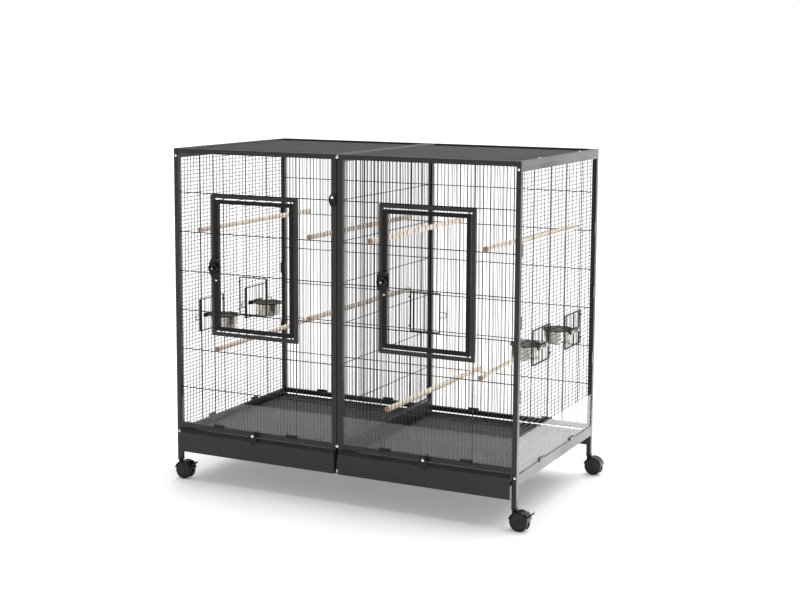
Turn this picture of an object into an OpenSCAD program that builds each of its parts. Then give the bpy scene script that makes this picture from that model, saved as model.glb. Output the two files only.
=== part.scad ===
// Double breeding cage on casters: two bays side by side with a pull-out divider between
// them. The walls are square steel tube with welded round wire. X runs along the front,
// Y from front to back, Z up, and the origin lies on the floor under the middle of the frame.

/* [Frame] */
// Overall width over the corner posts
cage_w = 1175; // [1000:5:1400]
// Overall depth over the corner posts
cage_d = 665; // [560:5:800]
// Height of the top rails above the floor
cage_h = 1066; // [1033:1:1250]
// Slot between the two bays that the divider slides through
slot_w = 7; // [6.5:0.5:9]
// Side of the square frame tube
tube = 15; // [13:0.5:18]
// Wall of the square frame tube
tube_wall = 1.2; // [1:0.1:1.6]
// Height of the lower end of the corner posts
post_foot = 65; // [63:1:80]
// Height of the underside of the front bottom rail
front_rail_z = 169.5; // [163:0.5:185]
// Height of the underside of the side bottom rails
side_rail_z = 147.5; // [145:0.5:153]
// Height of the underside of the back bottom rail
back_rail_z = 149.5; // [147:0.5:163]

/* [Wire] */
// Diameter of the close-set wires
wire_d = 2; // [1.6:0.1:2.4]
// Distance between the close-set wires
wire_pitch = 12; // [10:0.5:14]
// Diameter of the thicker cross wires
cross_d = 3; // [2.5:0.1:3.5]
// Height between the cross wires of the upright panels
cross_pitch = 125.4; // [110:0.1:126]
// Distance between the thicker wires of the sides and the roof
side_cross_pitch = 137; // [130:1:150]
// Depth that a welded wire goes into a tube wall
weld = 0.9; // [0.5:0.1:0.9]
// Side of the square bars round the openings and at the ends of the wires
edge_bar = 2.4; // [2.2:0.1:4]

/* [Front doors] */
// Outside width of the fixed door frame
door_w = 310; // [280:5:340]
// Height of the underside of the door frame
door_z = 480; // [463:1:493]
// Height of the top of the door frame
door_top = 926; // [893:1:943]
// Side of the door frame tube
door_tube = 11; // [9:0.5:12]
// Side of the tube of the swinging leaf
leaf_tube = 12; // [10:0.5:13]
// Gap between leaf and frame on the lock side
lock_gap = 2; // [1.5:0.5:3]
// Gap between leaf and frame on the hinge side
hinge_gap = 4; // [4:0.5:6]
// Gap between leaf and frame above and below
leaf_gap = 5; // [3:0.5:6]
// Diameter of the pivot pins
pin_d = 4; // [3:0.5:5]
// Distance of the pivot pins from the edge of the leaf
pin_inset = 8; // [6.5:0.5:9]
// Height of the lock above the underside of the door frame
lock_rise = 216; // [120:1:300]
// Width of the lock housing
lock_w = 38; // [34:1:40]
// Height of the lock housing
lock_h = 63; // [56:1:80]
// Diameter of the lock knob
knob_d = 34; // [28:1:36]

/* [Small doors] */
// Cells of the front wire that the small door in each leaf spans
hatch_cells = 8; // [6:2:8]
// Clear height of the small door in each front leaf
hatch_h = 114; // [100:1:117]
// Clear width of the feeding doors in the sides
feeder_w = 133; // [132:0.5:133]
// Clear height of the feeding doors in the sides
feeder_h = 102; // [90:1:120]
// Height of the underside of the feeding doors' openings
feeder_z = 461; // [443:1:513]
// Diameter of the feeding cup's body at its mouth
cup_d = 88; // [70:1:88]
// Height of the feeding cup
cup_h = 45; // [35:1:46]

/* [Tray] */
// Height of the lower edge of the tray front
fascia_z = 92; // [84:1:103]
// Height of the face of the tray front
fascia_h = 63; // [50:1:66]
// How far the tray front stands out from the frame
fascia_out = 10; // [6:0.5:12]
// Thickness of the sheet metal
sheet = 1.2; // [0.8:0.1:1.5]
// Height of the tray's floor above the floor of the room
tray_z = 132; // [130:0.5:133]
// Height of the tray's side walls
tray_wall_h = 11; // [9:0.5:12]
// Gap between the tray and the frame on each side
tray_gap = 2; // [1:0.5:4]

/* [Guards, perches and casters] */
// Height of the clear seed guards
guard_h = 85; // [60:1:120]
// Thickness of the clear seed guards
guard_t = 1.5; // [1:0.1:1.8]
// Length of the clips on the guards and panels
clip_l = 38; // [25:1:45]
// Diameter of the perches
perch_d = 16.5; // [12:0.5:18]
// Diameter of the caster wheels
wheel_d = 56; // [48:1:57]
// Distance of the wheel axle from the swivel
caster_trail = 17; // [12:1:22]

/* [Hidden] */
$fn = 40;

LEFT = -1;
RIGHT = 1;
FRONT = -1;
BACK = 1;

paint = "#34342f";
black = "#1c1c1d";
steel = "#c9c9cc";
galvanised = "#a8a9ab";
wood = "#d9bd8c";
clear_sheet = [0.85, 0.87, 0.88, 0.35];

seam = 0.05;                        // hairline between tubes that are cut and butted
fit = 0.1;                          // play between a pin and its hole, on the radius
half_w = cage_w / 2;
half_d = cage_d / 2;
bay_w = (cage_w - slot_w) / 2;      // one bay's front panel
half_bay = bay_w / 2;
bay_in = half_bay - tube;           // half the clear width of a bay
wire_plane = half_d - tube / 2;     // the close-set wires lie in the middle of the tubes
side_plane = half_w - tube / 2;
cross_set = wire_d / 2 + seam + cross_d / 2;  // cross wires lie just inside the others
top_rail = cage_h - tube;           // underside of the front and back top rails
side_top = top_rail - tube;         // underside of the side top rails
front_base = front_rail_z + tube;
back_base = back_rail_z + tube;
side_base = side_rail_z + tube;
cross_top = door_top + cross_d / 2 + seam;    // the top cross wire rests on the door frame
cross_count = 6;
beam_half = 10;                     // half the width of the centre beam
runner_t = 1.5;                     // thickness of the tray runners
runner_w = 18;                      // width of the ledge that the tray slides on

// Leaf of the front door, in its bay, measured from the middle of the bay
leaf_left = -door_w / 2 + door_tube + lock_gap;
leaf_right = door_w / 2 - door_tube - hinge_gap;
leaf_z = door_z + door_tube + leaf_gap;
leaf_top = door_top - door_tube - leaf_gap;
leaf_front = -half_d - 0.5;
leaf_wall = 1;
spindle_d = 5;
pin_x = leaf_right - pin_inset;
pin_y = leaf_front + leaf_tube / 2;
pin_reach = 3;                      // how far a pivot pin goes into the door frame
lock_x = leaf_left + spindle_d / 2 + 1.3;
lock_z = door_z + lock_rise;
lock_t = 9;
knob_t = 13;
tongue_t = 3;

// Small doors hang on eyes in front of the wire plane
hatch_set = 4;
rod_d = 2.4;
eye_d = 6;
eye_h = 5;
ear_out = 22;                       // wire ear that snaps over the neighbouring wire
ear_h = 17;
ear_z = -4;
ear_bar = 2;
hatch_w = hatch_cells * wire_pitch - edge_bar;
hatch_mid_x = -wire_pitch / 2;
hatch_mid_z = cross_z(3) + (cross_z(2) - cross_z(3)) / 2;
feeder_y = side_cross_pitch;        // feeding doors sit between two thick wires
feeder_mid_z = feeder_z + feeder_h / 2;
cup_rise = 47;                      // the ring's height above the opening's lower edge
ring_wire = 3.5;
ring_r = cup_d / 2 + 0.4 + ring_wire / 2;
cup_set = ring_r + ring_wire / 2;   // the ring's outside just reaches the wall
cup_wall = 1;
cup_foot_d = 0.86 * cup_d;

// Latches
latch_big_r = 14.5;
latch_eye_r = 10;
latch_tip_r = 8;
latch_drop = 10;
latch_tip = 12;
latch_t = 2.6;
latch_bore = 4.2;
screw_d = 4;
tray_latch_z = front_rail_z + 5;
divider_latch_z = top_rail - 113;

// Tray and its grate
fascia_end = slot_w / 2 + 3;        // the tray fronts end this far from the middle
fascia_outer = half_w - tube - 1.5;
lip_h = 11;
tray_in = slot_w / 2 + tube + tray_gap;
tray_out = half_w - tube - tray_gap;
tray_back = half_d - tube - 5.5;
grate_gap = 2;
grate_strip = 2;
grate_h = 5.6;                      // height of the strip round the grate
grate_foot = 5.4;                   // height of the feet that keep it off the tray's floor
grate_wire = 2.5;

// Divider
divider_t = 5;
divider_lift = 0.5;                 // play of the divider in its channels
channel_t = 1.2;
channel_h = 9;
channel_gap = 0.5;
divider_front = -half_d + 2;
divider_back = half_d - tube - 1.5;
beam_top = front_rail_z + tube - 2;   // clear of the screw over the slot
divider_z = beam_top + channel_t + divider_lift;
divider_top = top_rail - channel_t - divider_lift;

// Casters stand under the corner posts
stem_d = 8;
collar_t = 3;
wheel_t = 12;
web_t = 9;
axle_d = 5;
hood_t = 1.6;
hood_gap = 1.2;
wheel_r = wheel_d / 2;

// Each perch: bay side, near and far end counted in wires from the middle of the bay, cross wire
PERCHES_LEFT = [[-17, -16, 1], [-12, -13, 4], [17, 18, 1], [17, 18, 3]];
PERCHES_RIGHT = [[-16, -16, 1], [-11, -10, 5], [16, 19, 1], [15, 13, 4]];

function bay_x(side) = side * (slot_w / 2 + half_bay);
function cross_z(k) = cross_top - k * cross_pitch;
// Close-set wires of a bay lie half a pitch either side of its middle, and on from there
function wire_x(k) = (k + (k < 0 ? 0.5 : -0.5)) * wire_pitch;
function run(limit) = [for (x = [wire_pitch / 2:wire_pitch:limit]) each [-x, x]];
function arc(x, y, r, from, to, steps = 12) =
    [for (i = [0:steps]) let (a = from + (to - from) * i / steps) [x + r * cos(a), y + r * sin(a)]];

// Bar between two corners; with a wall it is a tube, open at its ends or closed at the far one
module bar(from, to, along = 0, wall = 0, closed = false) {
    if (wall == 0) {
        translate(from) cube(to - from);
    } else {
        near = [for (i = [0:2]) i == along ? -1 : wall];
        far = [for (i = [0:2]) i == along && !closed ? -1 : wall];
        difference() {
            translate(from) cube(to - from);
            translate(from + near) cube(to - from - near - far);
        }
    }
}

// Round wire between two points on one axis
module wire(from, to, d) {
    v = to - from;
    turn = v.x != 0 ? [0, 90, 0] : v.y != 0 ? [-90, 0, 0] : [0, 0, 0];
    translate(from) rotate(turn) cylinder(h = norm(v), d = d);
}

// Outline of a plate with two straight sides and round ends
module stadium(w, h) {
    r = w / 2;
    polygon(concat(arc(0, h / 2 - r, r, 0, 180), arc(0, r - h / 2, r, 180, 360)));
}

// Outline of a drop latch: round at the screw, widest just below it, narrow at its lower end
module latch_outline(big_r) {
    tilt = asin((big_r - latch_eye_r) / latch_drop);
    taper = asin((big_r - latch_tip_r) / latch_tip);
    polygon(concat(arc(0, 0, latch_eye_r, tilt, 180 - tilt),
        arc(0, -latch_drop, big_r, 180 - tilt, 180 + taper),
        arc(0, -latch_drop - latch_tip, latch_tip_r, 180 + taper, 360 - taper),
        arc(0, -latch_drop, big_r, 360 - taper, 360 + tilt)));
}

// ---- Front ----

// One bay's front: corner post, inner stile, two rails and the fixed door frame with its legs
module front_frame(side) {
    y0 = -half_d;
    y1 = y0 + tube;
    leg_d = 4;
    leg_x = door_w / 2 - door_tube / 2;
    leg_y = -wire_plane + cross_set - cross_d / 2 - seam - leg_d / 2;
    color(paint) translate([bay_x(side), 0, 0]) {
        mirror([side == LEFT ? 1 : 0, 0, 0]) {
            bar([bay_in, y0, post_foot], [half_bay, y1, cage_h], 2, tube_wall, true);
            bar([-half_bay, y0, fascia_z], [-bay_in, y1, cage_h], 2, tube_wall, true);
            for (z = [front_rail_z, top_rail])
                bar([-bay_in + seam, y0, z], [bay_in - seam, y1, z + tube], 0, tube_wall);
            for (x = [-1, 1]) {
                wire([x * leg_x, leg_y, front_base + seam], [x * leg_x, leg_y, door_z - seam], leg_d);
                wire([x * leg_x, leg_y, door_top + seam], [x * leg_x, leg_y, top_rail - seam], leg_d);
            }
        }
        for (x = [-door_w / 2, door_w / 2 - door_tube])
            bar([x, y0, door_z], [x + door_tube, y0 + door_tube, door_top], 2, leaf_wall);
        difference() {
            for (z = [door_z, door_top - door_tube])
                bar([-door_w / 2 + door_tube + seam, y0, z],
                    [door_w / 2 - door_tube - seam, y0 + door_tube, z + door_tube], 0, leaf_wall);
            for (z = [door_z + door_tube, door_top - door_tube])
                translate([pin_x, pin_y, z])
                    cylinder(h = 2 * door_tube - 4, d = pin_d + 2 * fit, center = true);
        }
    }
}

// One bay's fixed front wires, each cut to butt against the tubes
module front_grille(side) {
    leg_x = door_w / 2 - door_tube / 2;
    beside = door_w / 2 + wire_d;
    color(paint) translate([bay_x(side), 0, 0]) {
        for (x = run(bay_in - wire_d)) {
            if (abs(x) > beside) {
                wire([x, -wire_plane, front_base + seam], [x, -wire_plane, top_rail - seam], wire_d);
            } else if (abs(abs(x) - leg_x) > wire_pitch / 3) {
                wire([x, -wire_plane, front_base + seam], [x, -wire_plane, door_z - seam], wire_d);
                wire([x, -wire_plane, door_top + seam], [x, -wire_plane, top_rail - seam], wire_d);
            }
        }
        for (k = [0:cross_count - 1]) {
            z = cross_z(k);
            y = -wire_plane + cross_set;
            if (z < door_z - cross_d || z > door_top)
                wire([-bay_in + seam, y, z], [bay_in - seam, y, z], cross_d);
            else
                for (x = [-bay_in + seam, door_w / 2 + seam])
                    wire([x, y, z], [x + bay_in - door_w / 2 - 2 * seam, y, z], cross_d);
        }
    }
}

// Edge bars round a small door's opening, with the two eyes that the door hangs in.
// The opening faces -Y and is centred on the origin; hinge is the side of the eyes, -1 or 1.
module hatch_frame(w, h, hinge) {
    b = edge_bar;
    difference() {
        translate([-w / 2 - b, -b / 2, -h / 2 - b]) cube([w + 2 * b, b, h + 2 * b]);
        translate([-w / 2, -b, -h / 2]) cube([w, 2 * b, h]);
    }
    hatch_eyes(w, h, hinge);
}

module hatch_eyes(w, h, hinge) {
    b = edge_bar;
    for (z = [-1, 1])
        translate([hinge * (w / 2 + b / 2), -hatch_set, z * (h / 2 - 14) - eye_h / 2])
            difference() {
                union() {
                    cylinder(h = eye_h, d = eye_d);
                    translate([-rod_d / 2, 0, 0]) cube([rod_d, hatch_set - b / 2 + 1, eye_h]);
                }
                translate([0, 0, -1]) cylinder(h = eye_h + 2, d = rod_d + 2 * fit);
            }
}

// A small wire door in the same place: round hinge rod, edge bars, upright wires, snap ear
module hatch_door(w, h, hinge) {
    x0 = w / 2 + edge_bar / 2;
    z0 = h / 2 + edge_bar / 2;
    r = rod_d / 2;
    front = -hinge * x0;
    cells = round(2 * x0 / wire_pitch);
    translate([0, -hatch_set, 0]) {
        translate([hinge * x0, 0, -z0 - r]) cylinder(h = 2 * z0 + 2 * r, d = rod_d);
        for (z = [-z0, z0])
            translate([-x0 + (hinge < 0 ? 0 : -r), -r, z - r]) cube([2 * x0 + r, rod_d, rod_d]);
        translate([front - r, -r, -z0]) cube([rod_d, rod_d, 2 * z0]);
        for (i = [1:cells - 1])
            wire([(i - cells / 2) * wire_pitch, 0, -z0], [(i - cells / 2) * wire_pitch, 0, z0], wire_d);
        translate([0, 0, ear_z]) difference() {
            translate([min(front, front - hinge * ear_out), -ear_bar / 2, -ear_h / 2])
                cube([ear_out, ear_bar, ear_h]);
            translate([min(front, front - hinge * (ear_out - ear_bar)), -ear_bar, ear_bar - ear_h / 2])
                cube([ear_out - ear_bar, 2 * ear_bar, ear_h - 2 * ear_bar]);
        }
    }
}

// Swinging leaf of a front door with its pivot pins and the opening for the small door
module door(side) {
    x0 = leaf_left;
    x1 = leaf_right;
    y0 = leaf_front;
    y1 = y0 + leaf_tube;
    opening_x = hatch_w / 2 + edge_bar;
    opening_z = hatch_h / 2 + edge_bar;
    color(paint) translate([bay_x(side), 0, 0]) {
        difference() {
            union() {
                bar([x0, y0, leaf_z], [x0 + leaf_tube, y1, leaf_top], 2, leaf_wall);
                difference() {
                    bar([x1 - leaf_tube, y0, leaf_z], [x1, y1, leaf_top]);
                    translate([x1 - leaf_tube + leaf_wall, y0 + leaf_wall, leaf_z + leaf_tube])
                        cube([leaf_tube - 2 * leaf_wall, leaf_tube - 2 * leaf_wall,
                            leaf_top - leaf_z - 2 * leaf_tube]);
                    vent_d = 3;
                    translate([pin_x, y1, (leaf_z + leaf_top) / 2])
                        rotate([90, 0, 0]) cylinder(h = 4, d = vent_d, center = true);
                }
                for (z = [leaf_z, leaf_top - leaf_tube])
                    bar([x0 + leaf_tube, y0, z], [x1 - leaf_tube, y1, z + leaf_tube], 0, leaf_wall);
                for (z = [leaf_z - leaf_gap - pin_reach, leaf_top])
                    translate([pin_x, pin_y, z]) cylinder(h = leaf_gap + pin_reach, d = pin_d);
                for (k = [0:cross_count - 1])
                    if (cross_z(k) > leaf_z + leaf_tube && cross_z(k) < leaf_top - leaf_tube)
                        wire([x0 + leaf_tube - weld, -wire_plane + cross_set, cross_z(k)],
                            [x1 - leaf_tube + weld, -wire_plane + cross_set, cross_z(k)], cross_d);
                translate([hatch_mid_x, -wire_plane, hatch_mid_z]) hatch_frame(hatch_w, hatch_h, -1);
                for (x = run(-x0 - leaf_tube - 2 * wire_d))
                    if (x < x1 - leaf_tube - 1.5 * wire_d) {
                        if (abs(x - hatch_mid_x) > opening_x + wire_d) {
                            wire([x, -wire_plane, leaf_z + leaf_tube - weld],
                                [x, -wire_plane, leaf_top - leaf_tube + weld], wire_d);
                        } else if (abs(x - hatch_mid_x) < opening_x - edge_bar) {
                            wire([x, -wire_plane, leaf_z + leaf_tube - weld],
                                [x, -wire_plane, hatch_mid_z - opening_z + weld], wire_d);
                            wire([x, -wire_plane, hatch_mid_z + opening_z - weld],
                                [x, -wire_plane, leaf_top - leaf_tube + weld], wire_d);
                        }
                    }
            }
            translate([lock_x, y0 - 1, lock_z])
                rotate([-90, 0, 0]) cylinder(h = leaf_tube + 2, d = spindle_d + 2 * fit);
        }
    }
}

module small_door(side) {
    color(paint) translate([bay_x(side) + hatch_mid_x, -wire_plane, hatch_mid_z])
        hatch_door(hatch_w, hatch_h, -1);
}

// Oval lock housing on the leaf; it laps over the door frame in front
module lock(side) {
    color(black) translate([bay_x(side) + lock_x, leaf_front, lock_z]) {
        difference() {
            rotate([90, 0, 0]) linear_extrude(lock_t) stadium(lock_w, lock_h);
            rotate([90, 0, 0]) translate([0, 0, -1]) cylinder(h = lock_t + 2, d = spindle_d + 2 * fit);
        }
        for (z = [-1, 1])
            translate([0, -lock_t + 0.5, z * (lock_h / 2 - 6)])
                rotate([90, 0, 0]) cylinder(h = 1.5, d = 6);
    }
}

// Knob with its spindle and, behind the leaf, the tongue that turns behind the door frame
module knob(side) {
    back = leaf_front + leaf_tube;
    r = knob_d / 2;
    color(black) translate([bay_x(side) + lock_x, 0, lock_z]) {
        translate([0, leaf_front - lock_t - fit, 0]) rotate([90, 0, 0])
            rotate_extrude() polygon([[0, 0], [r, 0], [r, knob_t - 5], [r - 1, knob_t - 4],
                [r - 3, knob_t - 4], [r - 4, knob_t - 6.5], [8, knob_t - 6.5], [7, knob_t],
                [0, knob_t]]);
        translate([0, leaf_front - lock_t - fit + seam, 0]) rotate([-90, 0, 0])
            cylinder(h = lock_t + leaf_tube + 2 * fit - 2 * seam, d = spindle_d);
        tongue_w = 9;
        tongue_out = lock_x + door_w / 2 + 0.5;     // just past the door frame's tube
        translate([-tongue_w / 2, back + fit, -tongue_out])
            cube([tongue_w, tongue_t, tongue_out + 5]);
    }
}

// ---- Walls, roof and divider ----

// Back panel of a bay; the left one also carries the post in the middle of the back
module back_panel(side) {
    y1 = half_d;
    y0 = y1 - tube;
    x0 = tube / 2;
    x1 = half_w - tube;
    color(paint) mirror([side == LEFT ? 1 : 0, 0, 0]) {
        union() {
            for (z = [back_rail_z, top_rail])
                bar([x0 + seam, y0, z], [x1 - seam, y1, z + tube], 0, tube_wall);
            for (x = run(bay_x(RIGHT) - x0 - wire_d))
                if (x < bay_in - wire_d)
                    wire([bay_x(RIGHT) + x, wire_plane, back_base - weld],
                        [bay_x(RIGHT) + x, wire_plane, top_rail + weld], wire_d);
        }
        for (k = [0:cross_count - 1])
            wire([x0 + seam, wire_plane - cross_set, cross_z(k)],
                [x1 - seam, wire_plane - cross_set, cross_z(k)], cross_d);
        bar([x1, y0, post_foot], [half_w, y1, cage_h], 2, tube_wall, true);
        if (side == LEFT)
            bar([-x0, y0, fascia_z], [x0, y1, cage_h], 2, tube_wall, true);
    }
}

// Close-set wires of a side panel between two heights, welded to an upright bar at each end
module wire_band(y0, y1, z0, z1) {
    b = edge_bar / 2;
    for (y = [y0, y1 - edge_bar])
        bar([side_plane - b - weld, y, z0], [side_plane + b, y + edge_bar, z1]);
    for (z = [side_base + wire_pitch:wire_pitch:side_top - wire_d])
        if (z > z0 + wire_d && z < z1 - wire_d)
            wire([side_plane, y0 + weld, z], [side_plane, y1 - weld, z], wire_d);
}

// Eyes that a feeding door hangs in, on the upright bar behind its opening
module feeder_eyes() {
    translate([side_plane, 0, feeder_mid_z]) rotate(90) hatch_eyes(feeder_w, feeder_h, 1);
}

// Side panel: close-set wires run front to back, in bands round the two feeding doors
module side_panel(side) {
    y1 = half_d - tube - seam;
    x0 = side_plane - tube / 2;
    b = edge_bar / 2;
    z0 = feeder_z - edge_bar;
    z1 = feeder_z + feeder_h + edge_bar;
    post_in = feeder_y - feeder_w / 2;
    post_out = feeder_y + feeder_w / 2;
    color(paint) mirror([side == LEFT ? 1 : 0, 0, 0]) {
        for (z = [side_rail_z, side_top])
            bar([x0, -y1, z], [half_w, y1, z + tube], 1, tube_wall);
        for (y = [-1.5, -0.5, 0.5, 1.5] * side_cross_pitch)
            wire([side_plane - cross_set, y, side_base + seam],
                [side_plane - cross_set, y, side_top - seam], cross_d);
        wire_band(-y1, y1, side_base + seam, z0 - seam);
        wire_band(-y1, y1, z1 + seam, side_top - seam);
        wire_band(-y1, -post_out, z0, z1);
        union() {
            wire_band(-post_in, post_in, z0, z1);
            translate([0, -feeder_y, 0]) feeder_eyes();
        }
        union() {
            wire_band(post_out, y1, z0, z1);
            translate([0, feeder_y, 0]) feeder_eyes();
        }
        for (y = [-feeder_y, feeder_y], z = [z0, z1 - edge_bar])
            bar([side_plane - b, y - feeder_w / 2 + seam, z],
                [side_plane + b, y + feeder_w / 2 - seam, z + edge_bar]);
    }
}

// Roof of one bay: close-set wires from side rail to middle rail, thicker ones front to back
module roof(side) {
    y1 = half_d - tube - seam;
    roof_bar = 4;
    b = roof_bar / 2;
    z = top_rail + tube / 2;
    x0 = slot_w / 2;
    x1 = half_w - tube;
    color(paint) mirror([side == LEFT ? 1 : 0, 0, 0]) {
        for (x = [x0, x1])
            bar([x, -y1, top_rail], [x + tube, y1, cage_h], 1, tube_wall);
        for (y = [-y1, y1 - roof_bar])
            bar([x0 + tube - weld, y, z - b], [x1 + weld, y + roof_bar, z + b]);
        for (y = run(y1 - roof_bar - wire_d))
            wire([x0 + tube - weld, y, z], [x1 + weld, y, z], wire_d);
        for (k = [-1.5, -0.5, 0.5, 1.5])
            wire([bay_x(RIGHT) + k * side_cross_pitch, -y1 + weld, z - cross_set],
                [bay_x(RIGHT) + k * side_cross_pitch, y1 - weld, z - cross_set], cross_d);
    }
}

// Divider between the bays: a flat frame with upright wires and cross wires
module divider() {
    t = divider_t / 2;
    cross = 2.4;                    // the divider's wires are thin enough for the slot
    upright = 2;
    color(paint) {
        for (z = [divider_z, divider_top - divider_t])
            bar([-t, divider_front, z], [t, divider_back, z + divider_t]);
        for (y = [divider_front, divider_back - divider_t])
            bar([-t, y, divider_z], [t, y + divider_t, divider_top]);
        for (y = run(half_d))
            if (y > divider_front + divider_t + wire_d && y < divider_back - divider_t - wire_d)
                wire([t - upright / 2, y, divider_z + divider_t - weld],
                    [t - upright / 2, y, divider_top - divider_t + weld], upright);
        for (k = [0:cross_count - 1])
            wire([-t + cross / 2, divider_front + divider_t - weld, cross_z(k)],
                [-t + cross / 2, divider_back - divider_t + weld, cross_z(k)], cross);
    }
}

// Channels that guide the divider: one on the centre beam, one under the roof's middle rails
module divider_channels() {
    inner = divider_t / 2 + channel_gap;
    outer = inner + channel_t;
    y0 = -half_d + tube + 1;
    y1 = half_d - tube - 1;
    color(galvanised) {
        difference() {
            bar([-outer, y0, beam_top + seam], [outer, y1, beam_top + channel_h]);
            bar([-inner, y0 - 1, beam_top + channel_t], [inner, y1 + 1, beam_top + channel_h + 1]);
        }
        difference() {
            bar([-outer, y0, top_rail - channel_h], [outer, y1, top_rail]);
            bar([-inner, y0 - 1, top_rail - channel_h - 1], [inner, y1 + 1, top_rail - channel_t]);
        }
    }
}

// ---- Latches and their screws ----

module latch(x, y, z, big_r = latch_big_r) {
    color(black) translate([x, y, z]) rotate([90, 0, 0]) difference() {
        linear_extrude(latch_t) latch_outline(big_r);
        translate([0, 0, -1]) cylinder(h = latch_t + 2, d = latch_bore);
    }
}

// Shouldered screw: sleeve from the frame to the latch, head in front of it
module latch_screw(x, y, z) {
    sleeve_d = 8;
    head_d = 13;
    translate([x, -half_d, z]) rotate([90, 0, 0]) {
        reach = -half_d - y - seam;
        if (reach > 0.5) cylinder(h = reach, d = sleeve_d);
        cylinder(h = reach + latch_t + 2 * seam + 1, d = screw_d);
        translate([0, 0, reach + latch_t + 2 * seam]) dome(head_d, 3);
    }
}

tray_latch_y = -half_d - fascia_out - 1.2;
divider_latch_r = 12;                // small enough to hang clear of the divider
divider_latch_x = -slot_w / 2 - divider_latch_r;
divider_latch_y = -half_d - 0.6;

// Low domed screw head on the XY plane
module dome(d, h) {
    rotate_extrude() polygon([[0, 0], [d / 2, 0], [d / 2 - 0.15 * h, 0.5 * h], [d / 4, 0.9 * h], [0, h]]);
}

module latch_screws() {
    color(steel) {
        for (side = [LEFT, RIGHT])
            latch_screw(bay_x(side), tray_latch_y, tray_latch_z);
        latch_screw(divider_latch_x, divider_latch_y, divider_latch_z);
    }
}

// ---- Trays, grates and what they slide on ----

// Shallow tray with a tall folded front whose top edge leans back to the frame
module tray(side) {
    y0 = -half_d + 0.5;
    yf = -half_d - fascia_out;
    z1 = fascia_z + fascia_h;
    s = sheet;
    color(paint) mirror([side == LEFT ? 1 : 0, 0, 0]) {
        translate([fascia_end, 0, 0]) rotate([90, 0, 90]) linear_extrude(fascia_outer - fascia_end)
            polygon([[yf, fascia_z], [yf, z1], [-half_d - 1, z1 + lip_h], [-half_d - 1, z1 + lip_h - 2 * s],
                [yf + s, z1 - s], [yf + s, fascia_z + s], [-half_d - 1, fascia_z + s],
                [-half_d - 1, fascia_z]]);
        difference() {
            bar([tray_in, yf + s / 2, tray_z], [tray_out, tray_back, tray_z + tray_wall_h]);
            bar([tray_in + s, y0 + s, tray_z + s], [tray_out - s, tray_back - s, tray_z + tray_wall_h + 1]);
            bar([tray_in - 1, yf + s, tray_z + s], [tray_out + 1, y0, tray_z + tray_wall_h + 1]);
        }
    }
}

// Wire grate on six feet in the tray: strip on edge, wires front to back, cross rods below
module grate(side) {
    x0 = tray_in + sheet + grate_gap;
    x1 = tray_out - sheet - grate_gap;
    y0 = -half_d + 0.5 + sheet + grate_gap;
    y1 = tray_back - sheet - grate_gap;
    z0 = tray_z + sheet + grate_foot;
    t = grate_strip;
    rod = 3;
    foot = 14;
    wire_z = z0 + grate_h - grate_wire / 2;
    color(galvanised) mirror([side == LEFT ? 1 : 0, 0, 0]) {
        difference() {
            bar([x0, y0, z0], [x1, y1, z0 + grate_h]);
            bar([x0 + t, y0 + t, z0 - 1], [x1 - t, y1 - t, z0 + grate_h + 1]);
        }
        for (x = run(half_bay))
            if (bay_x(RIGHT) + x > x0 + t + 2 * wire_d && bay_x(RIGHT) + x < x1 - t - 2 * wire_d)
                wire([bay_x(RIGHT) + x, y0 + t - weld, wire_z], [bay_x(RIGHT) + x, y1 - t + weld, wire_z],
                    grate_wire);
        for (y = [-0.3, 0, 0.3] * (y1 - y0))
            wire([x0 + t - weld, (y0 + y1) / 2 + y, wire_z - grate_wire / 2 - seam - rod / 2],
                [x1 - t + weld, (y0 + y1) / 2 + y, wire_z - grate_wire / 2 - seam - rod / 2], rod);
        for (x = [x0, x1 - t], y = [y0, (y0 + y1 - foot) / 2, y1 - foot])
            bar([x, y, tray_z + sheet], [x + t, y + foot, z0 - seam]);
    }
}

// Angle under each side rail, and the beam between the bays on a flat strip; trays slide on these
module tray_runners() {
    y1 = half_d - tube - seam;
    z0 = tray_z - runner_t;
    color(paint) {
        for (side = [LEFT, RIGHT]) mirror([side == LEFT ? 1 : 0, 0, 0]) {
            bar([half_w - runner_t, -y1, z0], [half_w, y1, side_rail_z - seam]);
            bar([tray_out - runner_w, -y1, z0], [half_w - runner_t - seam, y1, tray_z]);
        }
        bar([-beam_half, -y1, tray_z + seam], [beam_half, y1, beam_top], 1, tube_wall);
        bar([-tray_in - runner_w, -y1, z0], [tray_in + runner_w, y1, tray_z]);
    }
}

// Sheet between the back posts below the back rail, folded at its ends; a gap stays above it
module back_skirt() {
    z0 = fascia_z + 3;
    z1 = back_rail_z - 6.5;
    fold = 8;
    y = half_d - 6;
    color(paint) for (side = [LEFT, RIGHT]) mirror([side == LEFT ? 1 : 0, 0, 0]) {
        bar([tube / 2, y, z0], [half_w - tube, y + sheet, z1]);
        for (x = [tube / 2, half_w - tube - sheet])
            bar([x, y - fold, z0], [x + sheet, y + sheet, z1]);
    }
}

// ---- Clear guards, clips, perches ----

module front_guards() {
    y = -half_d + 1.5;
    color(clear_sheet) for (side = [LEFT, RIGHT])
        bar([bay_x(side) - bay_in + 1, y, front_base], [bay_x(side) + bay_in - 1, y + guard_t, front_base + guard_h]);
}

module back_guards() {
    y = half_d - 1.5 - guard_t;
    color(clear_sheet) for (side = [LEFT, RIGHT]) mirror([side == LEFT ? 1 : 0, 0, 0])
        bar([tube / 2 + 1, y, back_base], [half_w - tube - 1, y + guard_t, back_base + guard_h]);
}

module side_guards() {
    x = half_w - 1.5 - guard_t;
    y = half_d - tube - 1;
    z1 = front_base + guard_h;
    color(clear_sheet) for (side = [LEFT, RIGHT]) mirror([side == LEFT ? 1 : 0, 0, 0])
        bar([x, -y, side_base], [x + guard_t, y, z1]);
}

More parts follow.
